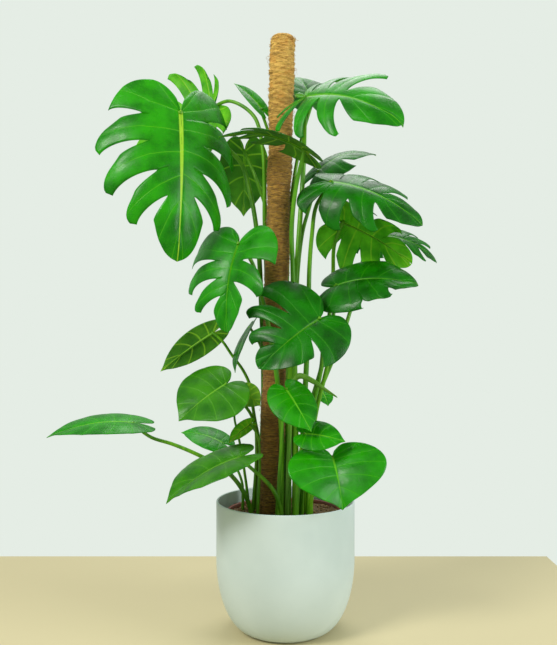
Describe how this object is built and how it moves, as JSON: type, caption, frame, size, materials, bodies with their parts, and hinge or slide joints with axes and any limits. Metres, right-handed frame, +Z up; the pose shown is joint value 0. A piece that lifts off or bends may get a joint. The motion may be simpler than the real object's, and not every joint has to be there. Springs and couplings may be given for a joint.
{
  "type": "potted monstera plant",
  "caption": "Young climbing monstera with split leaves on a coir pole, in a nursery pot that stands inside a round smooth planter.",
  "frame": {"origin": "centre of the planter's flat foot, on the surface that it stands on", "axes": "+Z up the plant, -Y towards its front, +X to the right as seen from the front"},
  "size_m": [0.7046, 0.3287, 1.0757],
  "materials": {
    "planter": "satin",
    "nursery_pot": "satin",
    "compost": "matte",
    "pole_wood": "matte",
    "coir": "matte",
    "leaf_blade": "gloss",
    "petiole": "satin"
  },
  "bodies": {
    "root": {"planter": "planter", "nursery_pot": "nursery_pot", "soil": "compost", "pole_core": "pole_wood", "coir_wrap": "coir", "leaf_01_blade": "leaf_blade", "leaf_01_petiole": "petiole", "leaf_02_blade": "leaf_blade", "leaf_02_petiole": "petiole", "leaf_03_blade": "leaf_blade", "leaf_03_petiole": "petiole", "leaf_04_blade": "leaf_blade", "leaf_04_petiole": "petiole", "leaf_05_blade": "leaf_blade", "leaf_05_petiole": "petiole", "leaf_06_blade": "leaf_blade", "leaf_06_petiole": "petiole", "leaf_07_blade": "leaf_blade", "leaf_07_petiole": "petiole", "leaf_08_blade": "leaf_blade", "leaf_08_petiole": "petiole", "leaf_09_blade": "leaf_blade", "leaf_09_petiole": "petiole", "leaf_10_blade": "leaf_blade", "leaf_10_petiole": "petiole", "leaf_11_blade": "leaf_blade", "leaf_11_petiole": "petiole", "leaf_12_blade": "leaf_blade", "leaf_12_petiole": "petiole", "leaf_13_blade": "leaf_blade", "leaf_13_petiole": "petiole", "leaf_14_blade": "leaf_blade", "leaf_14_petiole": "petiole", "leaf_15_blade": "leaf_blade", "leaf_15_petiole": "petiole", "leaf_16_blade": "leaf_blade", "leaf_16_petiole": "petiole", "leaf_17_blade": "leaf_blade", "leaf_17_petiole": "petiole", "leaf_18_blade": "leaf_blade", "leaf_18_petiole": "petiole", "leaf_19_blade": "leaf_blade", "leaf_19_petiole": "petiole", "leaf_20_blade": "leaf_blade", "leaf_20_petiole": "petiole", "leaf_21_blade": "leaf_blade", "leaf_21_petiole": "petiole", "leaf_22_blade": "leaf_blade", "leaf_22_petiole": "petiole", "leaf_23_blade": "leaf_blade", "leaf_23_petiole": "petiole", "leaf_24_blade": "leaf_blade", "leaf_24_petiole": "petiole", "leaf_25_blade": "leaf_blade", "leaf_25_petiole": "petiole", "leaf_26_blade": "leaf_blade", "leaf_26_petiole": "petiole", "new_leaf": "petiole"}
  },
  "joints": []
}
